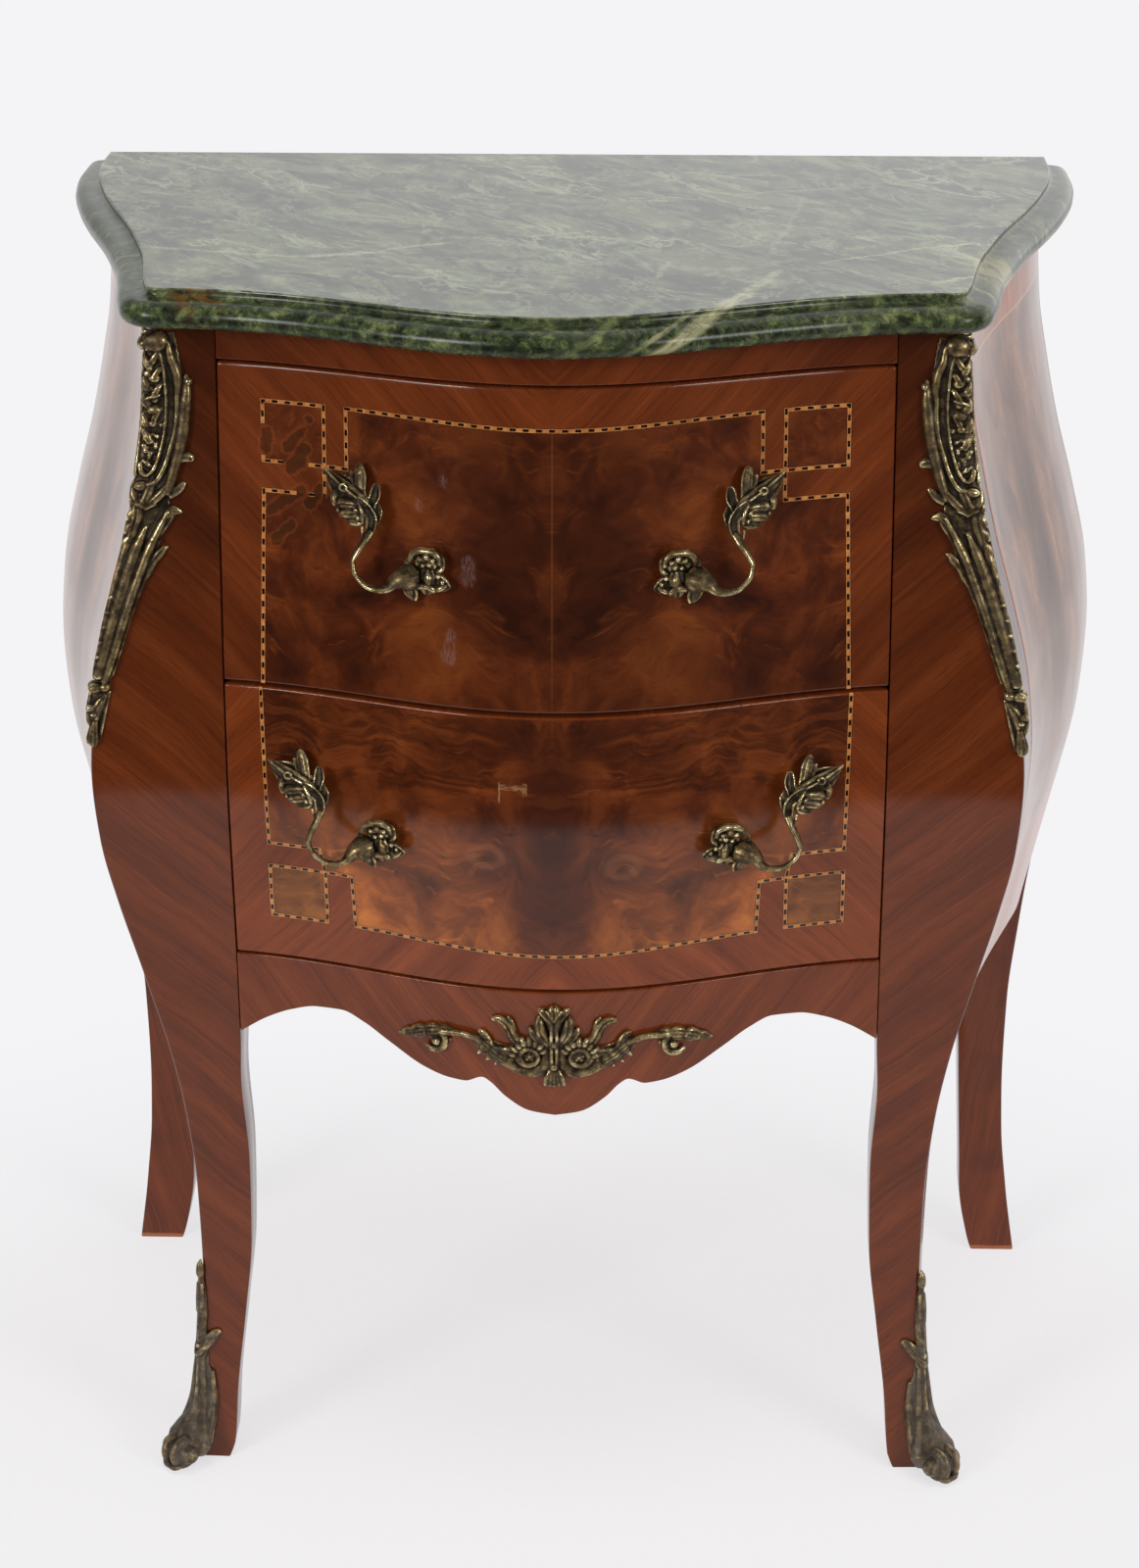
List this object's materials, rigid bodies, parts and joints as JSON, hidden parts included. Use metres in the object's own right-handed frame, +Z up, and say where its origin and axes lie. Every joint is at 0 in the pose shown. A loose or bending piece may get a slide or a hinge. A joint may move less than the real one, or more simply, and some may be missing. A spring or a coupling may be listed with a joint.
{
  "type": "commode chest",
  "caption": "Small bombe commode with a serpentine front, a moulded marble top, sliding drawers on runners and cast mounts.",
  "frame": {"origin": "centre of the base, on the floor", "axes": "+Z up, front of the drawers towards -Y"},
  "size_m": [0.6806, 0.4354, 0.78],
  "materials": {
    "veneer": "polished reddish brown veneer",
    "oak": "raw, dulled with age",
    "pine": "raw, dulled with age",
    "marble": "polished green marble with pale veins",
    "bronze": "cast, dark patina with rubbed highlights",
    "steel": "plain turned screws"
  },
  "bodies": {
    "carcase": {"marble_top": "marble", "back_panel": "pine", "top_back_rail": "pine", "middle_back_rail": "pine", "bottom_back_rail": "pine", "top_front_rail": "veneer", "middle_front_rail": "oak", "apron_front": "veneer", "dust_board": "pine", "bottom_board": "pine", "apron_mount": "bronze", "front_leg_right": "veneer", "front_leg_left": "veneer", "back_leg_right": "veneer", "back_leg_left": "veneer", "side_panel_right": "veneer", "side_panel_left": "veneer", "top_side_rail_right": "pine", "top_side_rail_left": "pine", "upper_runner_right": "oak", "upper_runner_left": "oak", "lower_runner_right": "oak", "lower_runner_left": "oak", "upper_guide_right": "oak", "upper_guide_left": "oak", "lower_guide_right": "oak", "lower_guide_left": "oak", "front_glue_block_right": "pine", "front_glue_block_left": "pine", "back_glue_block_right": "pine", "back_glue_block_left": "pine", "corner_mount_right": "bronze", "corner_mount_left": "bronze", "sabot_right": "bronze", "sabot_left": "bronze"},
    "upper_drawer": {"upper_drawer_front": "veneer", "upper_drawer_bottom": "pine", "upper_drawer_back": "oak", "upper_drawer_side_right": "oak", "upper_drawer_side_left": "oak", "upper_handle_right": "bronze", "upper_handle_left": "bronze", "upper_leaf_screw_right": "steel", "upper_leaf_screw_left": "steel", "upper_rosette_screw_right": "steel", "upper_rosette_screw_left": "steel"},
    "lower_drawer": {"lower_drawer_front": "veneer", "lower_drawer_bottom": "pine", "lower_drawer_back": "oak", "lower_drawer_side_right": "oak", "lower_drawer_side_left": "oak", "lower_handle_right": "bronze", "lower_handle_left": "bronze", "lower_leaf_screw_right": "steel", "lower_leaf_screw_left": "steel", "lower_rosette_screw_right": "steel", "lower_rosette_screw_left": "steel"}
  },
  "joints": [
    {"name": "upper_drawer_slide", "type": "slide", "parent": "carcase", "child": "upper_drawer", "axis": [0, -1, 0], "range_m": [0, 0.22]},
    {"name": "lower_drawer_slide", "type": "slide", "parent": "carcase", "child": "lower_drawer", "axis": [0, -1, 0], "range_m": [0, 0.22]}
  ]
}
